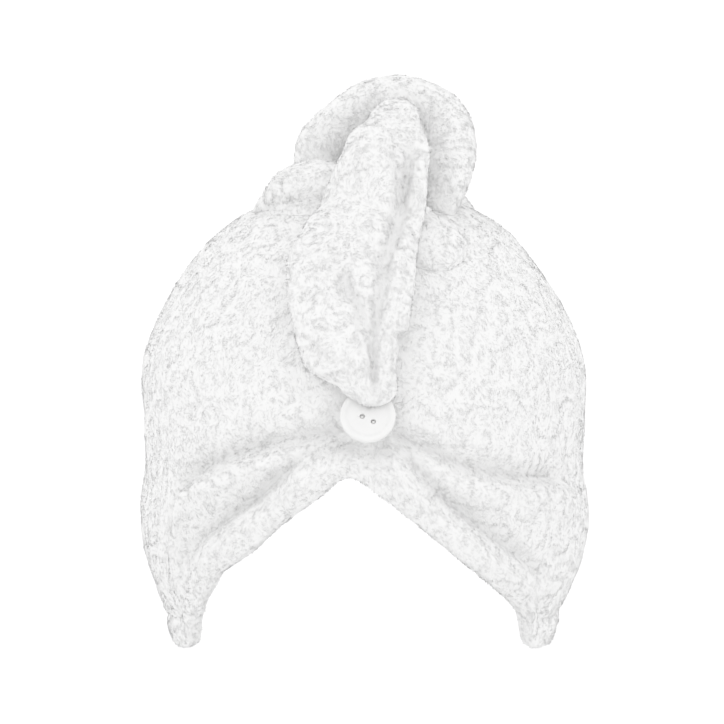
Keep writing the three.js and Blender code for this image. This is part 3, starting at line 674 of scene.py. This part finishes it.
def shapeGathers():
    # ellipses one above the other, with folds that wind up them and die out towards the top
    look = tailLook
    rows = smoothCourse(gatherRows, look["gatherSteps"])[::-1]
    share = np.linspace(1, 0, len(rows))[:, None]
    around = turns(look["gatherSides"])[None, :]
    angle = around + np.radians(look["gatherTurn"]) * share
    wave = np.cos(look["gatherFolds"] * around)
    fold = look["gatherFold"] * (1 - look["gatherFade"] * share) * wave
    fold = fold - look["gatherGroove"] * bell((wave + 1) / look["grooveReach"]) - look["pile"]
    up, back, width, depth = (rows[:, i, None] for i in range(4))
    x = look["gatherMiddle"] + (width * look["gatherWidth"] / 2 + fold) * np.cos(angle)
    y = back * look["loopDepth"] + (depth * look["gatherDepth"] / 2 + fold) * np.sin(angle)
    z = hoodLook["cloth"] + up * look["loopHeight"] + 0 * angle
    rings = np.stack([x, y, z], -1)
    return closedSkin(rings, rings[0].mean(0) + (0, 0, look["gatherTop"]), rings[-1].mean(0))


def endStops():
    # place, half width, half thickness, outward direction, crease and fold of each stop
    stops = []
    section = np.array([endLook["width"], endLook["thickness"]]) / 2
    for across, back, up, width, thickness, lean in endHump:
        lean = math.radians(lean)
        half = section * (width, thickness)
        out = (0, -math.sin(lean), math.cos(lean))
        stops.append((*loopPoint(across, back, up), *half, *out, *endRows[0][4:]))
    for level, shift, width, thickness, crease, fold in [*endRows, endTip]:
        run = runAt(level)
        hoodHalf = np.interp(run, profileRun, hoodProfile[:, 0])
        azimuth = math.degrees(math.asin(shift * endLook["width"] / hoodHalf))
        half = section * (width, thickness)
        raised = half[1] - tailLook["bedding"]
        if level == endTip[0]:
            raised = endLook["tipLift"] * endLook["thickness"]
        place, normal = plainHood(np.array(azimuth), run)
        place = place + normal * (halfCloth + raised)
        stops.append((*place, *half, *normal, crease, fold))
    return np.array(stops)


def lobeShare(at, across, crease):
    # 1 on the front lobe, 0 beside it: its edges leave its middle by the root of the way down from its top
    look = endLook
    middle, past = look["lobeMiddle"], at - look["lobeTop"]
    right = middle + (crease - middle) * np.sqrt(np.clip(past / look["lobeRight"], 0, 1))
    left = middle + (look["leftEnd"] - middle) * np.sqrt(np.clip(past / look["lobeLeft"], 0, 1))
    down, full = look["lobeEdge"]
    lobe = smoothStep(across, right + down, right + full) * smoothStep(across, left - down, left - full)
    begin, whole = look["lobeStart"]
    return lobe * smoothStep(at, look["lobeTop"] + begin, look["lobeTop"] + whole)


def shapeEnd():
    # a flattened section carried from inside the loop down to the button, two creases along its upper side
    look = endLook
    stops = endStops()
    centres = smoothCourse(stops[:, :3], look["steps"])
    at = np.arange(len(centres)) / look["steps"]
    i = np.minimum(at.astype(int), len(stops) - 2)
    share = (at - i)[:, None]
    eased = smoothStep(share, 0, 1)
    values = stops[i] * (1 - eased) + stops[i + 1] * eased
    out = stops[i, 5:8] * (1 - share) + stops[i + 1, 5:8] * share
    along = unit(np.gradient(centres, axis=0))
    sideways = np.cross(out, along)
    sideways = unit(sideways - along * (sideways * along).sum(1, keepdims=True))
    out = np.cross(along, sideways)
    turn = -turns(look["sides"])
    across, rise = np.cos(turn)[None], np.sin(turn)[None]
    crease, fold = values.T[8:, :, None]
    at = at[:, None]
    folded = look["fold"] * smoothStep(at, *look["foldStart"]) * bell((across - fold) / look["creaseReach"])
    dent = look["crease"] * np.maximum(bell((across - crease) / look["creaseReach"]), folded)
    dent = dent * smoothStep(at, look["lobeTop"], look["lobeTop"] + look["creaseStart"])
    step = look["lobeStep"] * smoothStep(at, *look["lobeFade"])
    dent = (dent + step * (1 - lobeShare(at, across, crease))) * np.clip(rise, 0, 1)
    width, thickness = np.maximum(values.T[3:5, :, None] - tailLook["pile"], 1)
    rings = centres[:, None] + (width * across)[..., None] * sideways[:, None]
    rings = rings + (thickness * rise - dent)[..., None] * out[:, None]
    return closedSkin(rings, centres[0], centres[-1])


def hoodBlank():
    # the hood's outside filled in, a gap larger, to cut what lies on it
    shares = np.linspace(tailLook["blankStart"], 1, tailLook["blankRows"])[:, None]
    rings = hoodRings(1, shares, lambda up: backing(up) + tailLook["gap"])[::-1]
    top = (0, 0, hoodLook["cloth"] - hoodLook["pile"] + tailLook["gap"])
    points, faces = closedSkin(rings, top, tailLook["blankFoot"])
    return putMesh("hoodBlank", points, faces)


def buttonBlank():
    # the whole button, with room on every side
    points, faces = buttonShape(tailLook["buttonRoom"], buttonLook["blankSides"])
    return putMesh("buttonBlank", toButton(points), faces)


def cutWith(piece, blanks):
    # the piece less the blanks, which are then taken away
    for blank in blanks:
        cut = piece.modifiers.new("cut", "BOOLEAN")
        cut.operation = "DIFFERENCE"
        cut.solver = "MANIFOLD"
        cut.object = blank
    mesh = applyModifiers(piece)
    for blank in blanks:
        bpy.data.objects.remove(blank)
    return mesh


def buildTail():
    # its forms joined by a fine remesh, eased, given the cloth's waves, then cut to the hood and the button
    skins = [shapeRope(frontWinding), shapeRope(windingSkirt), shapeRope(tailLoop)]
    skins += [shapeLobe(), shapeGathers(), shapeEnd()]
    first = np.cumsum([0] + [len(points) for points, faces in skins])
    faces = [corners + start for (points, kinds), start in zip(skins, first) for corners in kinds]
    tail = putMesh("plushTail", np.vstack([points for points, kinds in skins]), faces, plush)
    remesh = tail.modifiers.new("fuse", "REMESH")
    remesh.mode = "VOXEL"
    remesh.voxel_size = tailLook["voxel"] * mm
    remesh.use_smooth_shade = True
    ease = tail.modifiers.new("ease", "SMOOTH")
    ease.factor, ease.iterations = tailLook["easing"]
    mesh = applyModifiers(tail)
    places, normals = meshPoints(mesh)
    places = places + normals * plushWaves(places + tailLook["waveShift"])[:, None] * tailLook["waves"]
    mesh.vertices.foreach_set("co", (places * mm).astype(np.float32).ravel())
    mesh.update()
    mesh = cutWith(tail, [hoodBlank(), buttonBlank()])
    mesh.shade_smooth()
    mesh.materials.clear()
    mesh.materials.append(plush)
    return tail


# Button, in its own frame: its face towards +Z, up towards +Y

buttonLook = {
    "diameter": 25,
    "thickness": 3.6,
    "corner": 1.1,  # how round its edge is
    "rim": 0.5,  # the flat top of the rim inside that edge
    "slope": 2.2,  # from there in to the dish
    "dish": 0.7,
    "tilt": 25,
    "stand": 8.3,
    "hole": 2.4,
    "holeSpacing": 5.6,
    "holeTurn": -27,
    "holeDrop": 1.6,
    "bevel": 0.2,  # round the holes
    "sharp": 38,  # degrees past which an edge stays sharp
    "edgeSteps": (7, 9),  # points round its edge behind and in front
    "slopeSteps": 9,
    "sides": 112,
    "blankSides": 48,
    "holeSides": 40,
    "roughness": 0.3,
    "coat": (0.2, 0.15),  # weight and roughness
    "dark": (0.72, 0.72, 0.715),
    "light": (0.75, 0.75, 0.745),
    "clouds": 160,
    "grain": 900,
    "grainRelief": (0.0001, 0.15),
}
clothAtButton = bareHood(buttonSeat["azimuth"], buttonSeat["level"])
buttonMiddle = clothAtButton + (0, -buttonLook["stand"], 0)


def toButton(points):
    # turned about X so the face looks out and up, then moved to the button's middle
    turn = math.radians(90 - buttonLook["tilt"])
    x, y, z = np.asarray(points, float).T
    forward, up = y * math.cos(turn) - z * math.sin(turn), y * math.sin(turn) + z * math.cos(turn)
    return np.stack([x, forward, up], -1) + buttonMiddle


def turnedSkin(profile, sides):
    # a profile of radius and height, from the back's middle out and up to the face's, turned about Z
    profile = np.asarray(profile, float)
    turn = turns(sides)
    radius, height = profile[:, :1], np.repeat(profile[:, 1:], sides, 1)
    rings = np.stack([radius * np.cos(turn), radius * np.sin(turn), height], -1)
    points, faces = closedSkin(rings, (0, 0, profile[0, 1]), (0, 0, profile[-1, 1]))
    return points, [f[:, ::-1] for f in faces]


def arc(centre, radius, start, end, steps):
    # points round part of a circle, between two angles in degrees
    turn = np.radians(np.linspace(start, end, steps))
    return [(centre[0] + radius * math.cos(t), centre[1] + radius * math.sin(t)) for t in turn]


def buttonShape(margin, sides):
    # flat back, rounded edge, raised rim and a shallow dish inside it
    radius = buttonLook["diameter"] / 2 + margin
    half = buttonLook["thickness"] / 2 + margin
    dish = 0 if margin else buttonLook["dish"]
    corner = buttonLook["corner"]
    profile = [(1.0, -half), (radius * 0.5, -half)]
    behind, ahead = buttonLook["edgeSteps"]
    profile += arc((radius - corner, -half + corner), corner, -90, 0, behind)
    profile += arc((radius - corner, half - corner), corner, 0, 90, ahead)
    inner = np.linspace(0, 1, buttonLook["slopeSteps"])[1:]
    rim = radius - corner - buttonLook["rim"]
    profile += zip(rim - buttonLook["slope"] * inner, half - dish * smoothStep(inner, 0, 1))
    profile += [(r, half - dish) for r in (radius * 0.55, radius * 0.3, 1.0)]
    return turnedSkin(profile, sides)


def holePlaces():
    # across and up to each hole: half the spacing along a turned line that runs below the middle
    turn = math.radians(buttonLook["holeTurn"])
    for side in (-1, 1):
        reach = side * buttonLook["holeSpacing"] / 2
        yield reach * math.cos(turn), reach * math.sin(turn) - buttonLook["holeDrop"]


def mouldedPlastic():
    # faint clouds of tone under a thin clear coat, and a fine grain
    look = buttonLook
    material, nodes, links, shader = newMaterial("buttonPlastic", look["roughness"])
    cloudedTone(nodes, links, shader, look, detail=3)
    grain = noiseNode(nodes, links, objectCoords(nodes), look["grain"], 2)
    links.new(bumpNode(nodes, links, grain, *look["grainRelief"]), shader.inputs["Normal"])
    shader.inputs["Coat Weight"].default_value, shader.inputs["Coat Roughness"].default_value = look["coat"]
    return material


def buildButton():
    # the turned button less a drill for each hole, which widens by the bevel at the face
    look = buttonLook
    points, faces = buttonShape(0, look["sides"])
    button = putMesh("sewnButton", toButton(points), faces, mouldedPlastic())
    half, r, bevel = look["thickness"] / 2, look["hole"] / 2, look["bevel"]
    face = half - look["dish"]
    drill = [(r, -half - 1), (r, face - bevel), (r + 0.3 * bevel, face - 0.3 * bevel), (r + bevel, face)]
    drill.append((r + 1.5 * bevel, face + 1.5))
    points, faces = turnedSkin(drill, look["holeSides"])
    drills = [putMesh("drill", toButton(points + (x, y, 0)), faces) for x, y in holePlaces()]
    mesh = cutWith(button, drills)
    mesh.shade_smooth()
    mesh.set_sharp_from_angle(angle=math.radians(look["sharp"]))
    return button


tail = buildTail()
print("tail shaped", len(tail.data.polygons))
button = buildButton()
print("button turned", len(button.data.polygons))


# Pile

pileLook = {
    "clump": 3.4,
    "rise": 0.6,  # how far the tips stand off the cloth
    "lie": 2.4,  # and how far they lean over, the same way as those around them
    "flow": 9,  # over which the way they lean turns
    "radius": 0.35,
    "sink": 0.25,
    "edge": 1.2,  # how much the light on a tuft shows its own roundness
    "pull": 0.3,  # how far the tips lean towards the middle of their clump
    "dome": (1.15, 0.5),  # height in the middle of a clump, and how much of it is lost towards its edge
    "heights": (0.8, 0.4),  # least share of the height, and how much chance adds to it
    "leans": (0.7, 0.6),
    "radii": (0.8, 0.45),
    "wander": 0.45,  # by how many radians a tuft turns from the flow
    "stray": 0.22,
    "flowSeed": 31,
    "hoodTufts": 47000,
    "tailTufts": 34000,
    "liningTufts": 12000,
}


def sampleSkin(mesh, count, keep, chance):
    # places and normals spread evenly over a mesh's triangles, where keep allows
    mesh.calc_loop_triangles()
    corners = np.empty(len(mesh.loop_triangles) * 3, np.int32)
    mesh.loop_triangles.foreach_get("vertices", corners)
    corners = corners.reshape(-1, 3)
    places, normals = meshPoints(mesh)
    a, b, c = places[corners].transpose(1, 0, 2)
    square = np.cross(b - a, c - a)
    area = np.linalg.norm(square, axis=1) / 2
    total = np.cumsum(area * keep((a + b + c) / 3, unit(square)))
    pick = np.searchsorted(total, chance.random(count) * total[-1])
    u, v = chance.random((2, count))
    over = u + v > 1
    u, v = np.where(over, 1 - u, u), np.where(over, 1 - v, v)
    weights = np.stack([1 - u - v, u, v], -1)[..., None]
    triangle = corners[pick]
    return (places[triangle] * weights).sum(1), unit((normals[triangle] * weights).sum(1))


def clumpMiddles(places, size, seed):
    # the nearest of the points that stand one in each cube of a lattice, off its middle by chance
    home = np.floor(places / size)
    best = np.full(len(places), 1e9)
    nearest = places.copy()
    for step in np.ndindex(3, 3, 3):
        cell = home + step - 1
        off = np.stack([scatter(cell, seed + i) for i in range(3)], -1)
        middle = (cell + off) * size
        distance = np.linalg.norm(middle - places, axis=1)
        closer = distance < best
        best = np.where(closer, distance, best)
        nearest[closer] = middle[closer]
    return nearest, best


def growPile(name, carrier, count, seed, keep, scale=1.0):
    # tufts of four faces: three points round a root below the surface and a tip that leans into its clump
    look = pileLook
    chance = np.random.default_rng(seed)
    places, normals = sampleSkin(carrier.data, count, keep, chance)
    clumps, distance = clumpMiddles(places, look["clump"], seed)
    pull = clumps - places
    pull = pull - normals * (pull * normals).sum(1, keepdims=True)
    spin = chance.random(count) * 2 * np.pi
    sideways = unit(np.cross(normals, np.where(np.abs(normals[:, 2:]) < 0.8, [[0, 0, 1.0]], [[1.0, 0, 0]])))
    forward = np.cross(normals, sideways)

    def towards(turn):
        # along the cloth: the cosine of a turn times sideways and its sine times forward
        return np.cos(turn)[:, None] * sideways + np.sin(turn)[:, None] * forward

    def varied(least, more):
        # a share for each tuft: the least, and more by chance
        return least + more * chance.random(count)

    dome = look["dome"][0] - look["dome"][1] * np.clip(distance / look["clump"], 0, 1)
    height = scale * look["rise"] * dome * varied(*look["heights"])
    way = 2 * np.pi * softNoise(places, look["flow"], look["flowSeed"])
    way = way + chance.normal(0, look["wander"], count)
    lying = towards(way) * (scale * look["lie"] * varied(*look["leans"]))[:, None]
    radius = scale * look["radius"] * varied(*look["radii"])
    stray = chance.normal(0, look["stray"], (count, 2))
    tip = places + normals * height[:, None] + lying + pull * look["pull"]
    tip = tip + stray[:, :1] * sideways + stray[:, 1:] * forward
    root = places - normals * look["sink"]
    corners = [root + radius[:, None] * towards(spin + k * 2 * np.pi / 3) for k in range(3)]
    points = np.stack([*corners, tip], 1).reshape(-1, 3)
    shape = np.array([[0, 1, 3], [1, 2, 3], [2, 0, 3], [0, 2, 1]])
    faces = (shape[None] + 4 * np.arange(count)[:, None, None]).reshape(-1, 3)
    piece = putMesh(name, points, [faces], yarn)
    fromRoot = points.reshape(count, 4, 3) - root[:, None]
    soft = unit(look["edge"] * unit(fromRoot) + normals[:, None]).reshape(-1, 3)
    piece.data.normals_split_custom_set_from_vertices(soft)
    return piece


# how the sides of the cloth are told: from where, and how far a face may turn away or lie off the hood
pileSides = {
    "hoodMiddle": (0, 0, -95),
    "flatten": 0.6,
    "turned": -0.25,
    "crownMiddle": (0, 0, -60),
    "bedded": -0.3,
    "near": 6,
}


def outsideOnly(middle, facing):
    # the hood's outer face and its hem: the face's normal times the flattened direction away from the middle
    away = unit(middle - pileSides["hoodMiddle"])
    away[:, 2] *= pileSides["flatten"]
    return (facing * away).sum(1) > pileSides["turned"]


def insideOnly(middle, facing):
    # and the rest of it, the lining
    return ~outsideOnly(middle, facing)


def offHood(middle, facing):
    # the tail without what lies on the hood: faces that look at the crown and are close above the hood
    wide, deep = (np.interp(-middle[:, 2], -hoodProfile[:, 2], hoodProfile[:, i]) for i in range(2))
    reach = np.hypot(middle[:, 0] / np.maximum(wide, 1), middle[:, 1] / np.maximum(deep, 1))
    height = np.where(middle[:, 2] > hoodLook["cloth"], middle[:, 2], (reach - 1) * deep)
    away = unit(middle - pileSides["crownMiddle"])
    return ~(((facing * away).sum(1) < pileSides["bedded"]) & (height < pileSides["near"]))


hoodPile = growPile("hoodPile", hood, pileLook["hoodTufts"], seed=21, keep=outsideOnly)
hoodPileUnder = growPile("hoodPileUnder", hood, pileLook["hoodTufts"], seed=22, keep=outsideOnly, scale=0.9)
liningPile = growPile("liningPile", hood, pileLook["liningTufts"], seed=23, keep=insideOnly, scale=0.9)
tailPile = growPile("tailPile", tail, pileLook["tailTufts"], seed=24, keep=offHood)
print("pile grown")


# Elastic loop and thread

elasticLook = {
    "cord": 2.2,
    "drop": 15,
    "thread": 1.3,
    "gap": 0.35,
    "sides": 20,
    "steps": 12,
    "roughness": 0.8,
    "colour": (0.82, 0.82, 0.8, 1),
    "stripes": 2.4,
    "lean": 45,
    "relief": (0.0003, 0.8),
    "turns": 3,  # of the braid's map round the cord
}


def braidedElastic():
    # two sets of stripes that cross along and round the cord, from its own map
    look = elasticLook
    material, nodes, links, shader = newMaterial("braidedElastic", look["roughness"])
    shader.inputs["Base Color"].default_value = look["colour"]
    coords = nodes.new("ShaderNodeTexCoord").outputs["UV"]
    both = nodes.new("ShaderNodeMath")
    both.operation = "MAXIMUM"
    for i, side in enumerate((1, -1)):
        mapping = addNode(nodes, "Mapping", {"Rotation": (0, 0, side * math.radians(look["lean"]))})
        links.new(coords, mapping.inputs["Vector"])
        wave = addNode(nodes, "TexWave", {"Scale": look["stripes"]})
        links.new(mapping.outputs["Vector"], wave.inputs["Vector"])
        links.new(wave.outputs["Fac"], both.inputs[i])
    links.new(bumpNode(nodes, links, both.outputs[0], *look["relief"]), shader.inputs["Normal"])
    return material


def buildElastic():
    # a round section along the loop, from the back of the tail's end round behind the button
    look = elasticLook
    side = (buttonLook["holeSpacing"] + look["thread"] + look["cord"]) / 2 + look["gap"]
    level = -buttonLook["thickness"] / 2 - 2 * look["gap"] - look["cord"] / 2
    top = look["drop"] - side
    left = [(-0.8, top), (-1, top / 2), (-1, 0), (-0.7, -0.75 * side)]
    right = [(-x, y) for x, y in left[::-1]]
    stops = [(x * side, y, level) for x, y in [*left, (0, -side), *right]]
    course = smoothCourse(stops, look["steps"])
    along = unit(np.gradient(course, axis=0))
    rings = course[:, None] + look["cord"] / 2 * roundRings(along, np.array([0, 0, 1.0]), look["sides"])
    points, faces = closedSkin(rings, course[0], course[-1])
    piece = putMesh("elasticCord", toButton(points), faces, braidedElastic())
    run = runAlong(course)
    across = np.arange(look["sides"]) / look["sides"]
    around = np.tile(across * look["turns"], len(run))
    values = np.stack([around, np.repeat(run / look["cord"], look["sides"])], -1)
    values = np.vstack([values, values[:1], values[-1:]])
    corners = np.empty(len(piece.data.loops), np.int32)
    piece.data.loops.foreach_get("vertex_index", corners)
    uv = piece.data.uv_layers.new(name="UVMap")
    uv.data.foreach_set("uv", values[corners].astype(np.float32).ravel())
    return piece


threadLook = {
    "roughness": 0.85,
    "dark": (0.78, 0.78, 0.77),
    "light": (0.88, 0.88, 0.87),
    "clouds": 2200,
    "plies": 700,
    "relief": (0.0002, 0.7),
}


def sewingCotton():
    # fine plies that lean round the thread
    look = threadLook
    material, nodes, links, shader = newMaterial("sewingCotton", look["roughness"])
    cloudedTone(nodes, links, shader, look)
    wave = addNode(nodes, "TexWave", {"Scale": look["plies"]})
    wave.bands_direction = "DIAGONAL"
    links.new(objectCoords(nodes), wave.inputs["Vector"])
    links.new(bumpNode(nodes, links, wave.outputs["Fac"], *look["relief"]), shader.inputs["Normal"])
    return material


elastic = buildElastic()
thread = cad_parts["button_thread"]
thread.data.materials.clear()
thread.data.materials.append(sewingCotton())
print("elastic laid")


# Floor and light

studio = {
    "floor": -300,
    "reach": 5000,
    "sides": 96,
    "roughness": 0.9,
    "dark": (0.93, 0.93, 0.93),
    "light": (0.95, 0.95, 0.95),
    "clouds": 3,
    "world": 1.22,
    "gamma": 1.5,  # a soft, pale print
}
# place and size in metres, and power in watts
lamps = {
    "keyLight": ((-1.3, -1.7, 1.7), 1.2, 2),
    "fillLight": ((1.6, -1.5, 0.6), 1.6, 0.5),
}


def paleFloor():
    # matt, with faint clouds of tone
    material, nodes, links, shader = newMaterial("paleFloor", studio["roughness"])
    cloudedTone(nodes, links, shader, studio)
    return material


def addLamp(name, place, size, power):
    # a round soft light turned to what the camera looks at
    data = bpy.data.lights.new(name, "AREA")
    data.shape = "DISK"
    data.size = size
    data.energy = power
    light = bpy.data.objects.new(name, data)
    light.location = place
    towards = Vector(photoView["target"]) * mm - Vector(place)
    light.rotation_euler = towards.to_track_quat("-Z", "Y").to_euler()
    scene.collection.objects.link(light)


floorTurn = turns(studio["sides"])
floorRing = np.stack([np.cos(floorTurn), np.sin(floorTurn), 0 * floorTurn], -1) * studio["reach"]
floorRing = floorRing + (0, 0, studio["floor"])
floor = putMesh("floor", floorRing, [np.arange(studio["sides"])[None]], paleFloor(), smooth=False)
world = bpy.data.worlds.new("studio")
world.use_nodes = True
glow = world.node_tree.nodes["Background"].inputs
glow["Color"].default_value = (1, 1, 1, 1)
glow["Strength"].default_value = studio["world"]
scene.world = world
for name, lamp in lamps.items():
    addLamp(name, *lamp)
tonesShown = scene.view_settings
tonesShown.view_transform = "Standard"
tonesShown.look = "None"
tonesShown.gamma = studio["gamma"]
print("lights set")


# The pieces, grouped in a table, each carried by the root body

pieces = {
    "plush": [hood, tail, hoodPile, hoodPileUnder, liningPile, tailPile],
    "button_plastic": [button],
    "elastic": [elastic],
}
for slot, members in pieces.items():
    for piece in members:
        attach(piece, "root")
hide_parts("hood")
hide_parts("tail")
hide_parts("button")
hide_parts("elastic_loop")
